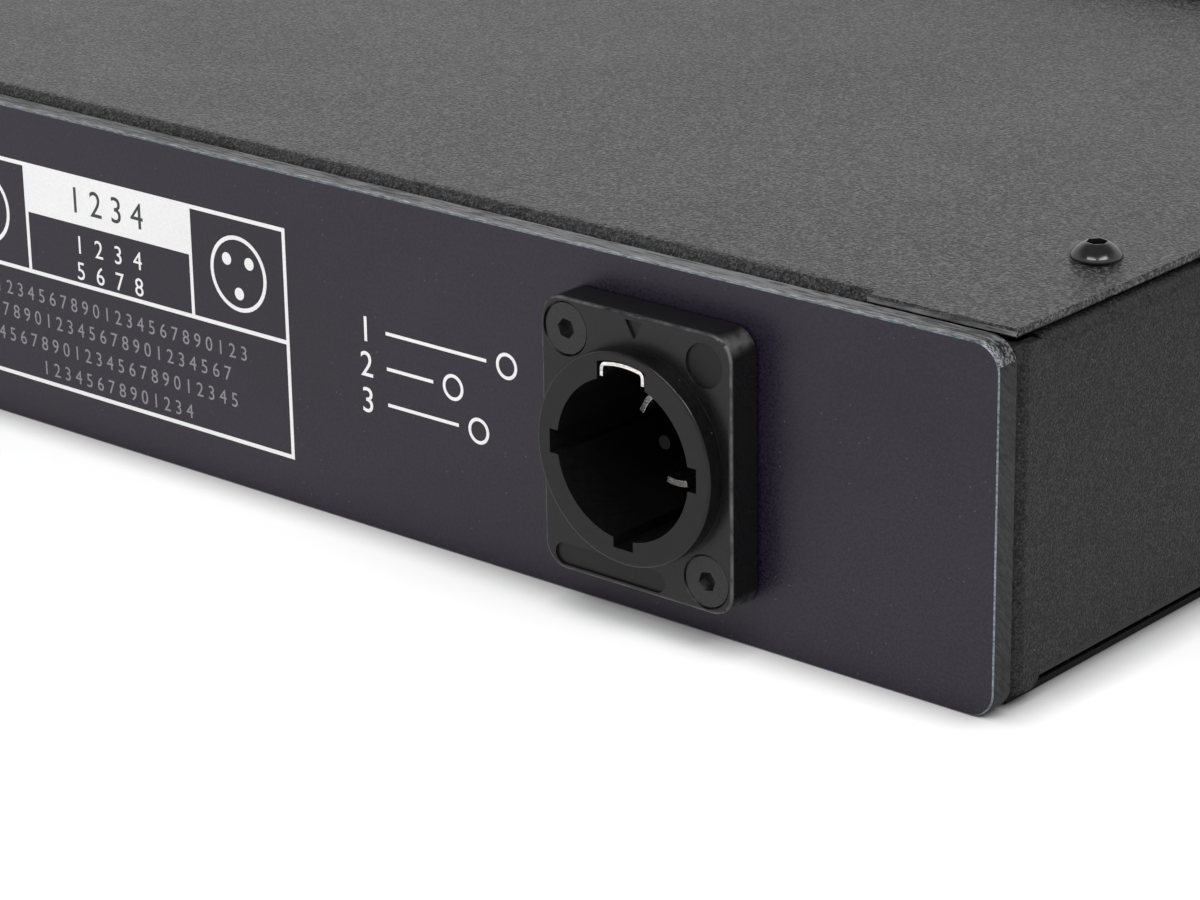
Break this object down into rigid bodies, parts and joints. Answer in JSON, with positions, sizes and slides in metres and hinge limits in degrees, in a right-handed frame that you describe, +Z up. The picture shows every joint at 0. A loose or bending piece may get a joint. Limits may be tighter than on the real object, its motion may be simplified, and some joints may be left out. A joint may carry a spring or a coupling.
{
  "type": "laser safety signal splitter",
  "caption": "Slim rack-mount laser safety signal splitter: folded chassis, locking mains inlet, male input and latching female outputs behind, rocker switch and lamps in front.",
  "frame": {"origin": "middle of the bottom of the bounding box: the height of the two panels' lower edges", "axes": "+X to the viewer's right in front of the unit, +Y towards the rear panel, +Z up"},
  "size_m": [0.4826, 0.1474, 0.0436],
  "materials": {
    "board": "green circuit board",
    "capacitor_can": "sleeved can",
    "component": "dark moulded case",
    "contact_metal": "bright plated contact metal",
    "inlet_plastic": "black moulded plastic",
    "insert_plastic": "black moulded plastic",
    "lamp_lens": "clear tinted lens",
    "latch_metal": "bright steel",
    "lead_blue": "blue insulation",
    "lead_brown": "brown insulation",
    "lead_green": "green and yellow insulation",
    "nut_steel": "zinc plated",
    "panel": "black anodised aluminium, fine satin grain, bright milled edge",
    "rocker_plastic": "black moulded plastic, slightly worn",
    "screw_steel": "blackened steel, glossy",
    "sheet_metal": "black powder coat, fine texture",
    "socket_shell": "black coated zinc casting",
    "switch_plastic": "black moulded plastic",
    "terminal_plastic": "green moulded plastic"
  },
  "bodies": {
    "chassis": {"bottom_sheet": "sheet_metal", "cover_screw_1": "screw_steel", "cover_screw_2": "screw_steel", "cover_screw_3": "screw_steel", "cover_screw_4": "screw_steel", "earth_nut": "nut_steel", "front_panel": "panel", "inlet_earth_contact": "contact_metal", "inlet_housing": "inlet_plastic", "inlet_insert": "inlet_plastic", "inlet_line_contact": "contact_metal", "inlet_neutral_contact": "contact_metal", "inlet_screw_1": "screw_steel", "inlet_screw_2": "screw_steel", "input_insert": "insert_plastic", "input_pin_1": "contact_metal", "input_pin_2": "contact_metal", "input_pin_3": "contact_metal", "input_shell": "socket_shell", "lamp_board": "board", "lamp_input": "lamp_lens", "lamp_output_1": "lamp_lens", "lamp_output_2": "lamp_lens", "lamp_output_3": "lamp_lens", "lamp_output_4": "lamp_lens", "lamp_power": "lamp_lens", "lead_earth": "lead_green", "lead_live": "lead_brown", "lead_neutral": "lead_blue", "lead_switched": "lead_brown", "output_insert_1": "insert_plastic", "output_insert_2": "insert_plastic", "output_insert_3": "insert_plastic", "output_insert_4": "insert_plastic", "output_shell_1": "socket_shell", "output_shell_2": "socket_shell", "output_shell_3": "socket_shell", "output_shell_4": "socket_shell", "rear_panel": "panel", "relay_1": "component", "relay_2": "component", "relay_3": "component", "relay_4": "component", "relay_input": "component", "side_channel_left": "sheet_metal", "side_channel_right": "sheet_metal", "splitter_board": "board", "supply_board": "board", "supply_capacitor": "capacitor_can", "supply_terminal": "terminal_plastic", "supply_transformer": "component", "switch_body": "switch_plastic", "switch_terminal_1": "contact_metal", "switch_terminal_2": "contact_metal", "top_cover": "sheet_metal"},
    "release_tab_1": {"output_latch_1": "latch_metal"},
    "release_tab_2": {"output_latch_2": "latch_metal"},
    "release_tab_3": {"output_latch_3": "latch_metal"},
    "release_tab_4": {"output_latch_4": "latch_metal"},
    "power_rocker": {"switch_rocker": "rocker_plastic"}
  },
  "joints": [
    {"name": "release_tab_1_press", "type": "hinge", "parent": "chassis", "child": "release_tab_1", "pos_m": [-0.025, 0.06902, 0.0332], "axis": [-1, 0, 0], "range_deg": [0, 7], "stiffness_Nm_per_rad": 0.02, "springref_deg": -8.59},
    {"name": "release_tab_2_press", "type": "hinge", "parent": "chassis", "child": "release_tab_2", "pos_m": [0.017, 0.06902, 0.0332], "axis": [-1, 0, 0], "range_deg": [0, 7], "stiffness_Nm_per_rad": 0.02, "springref_deg": -8.59},
    {"name": "release_tab_3_press", "type": "hinge", "parent": "chassis", "child": "release_tab_3", "pos_m": [0.059, 0.06902, 0.0332], "axis": [-1, 0, 0], "range_deg": [0, 7], "stiffness_Nm_per_rad": 0.02, "springref_deg": -8.59},
    {"name": "release_tab_4_press", "type": "hinge", "parent": "chassis", "child": "release_tab_4", "pos_m": [0.101, 0.06902, 0.0332], "axis": [-1, 0, 0], "range_deg": [0, 7], "stiffness_Nm_per_rad": 0.02, "springref_deg": -8.59},
    {"name": "power_rocker_tilt", "type": "hinge", "parent": "chassis", "child": "power_rocker", "pos_m": [-0.18, -0.06698, 0.0218], "axis": [1, 0, 0], "range_deg": [0, 22]}
  ]
}
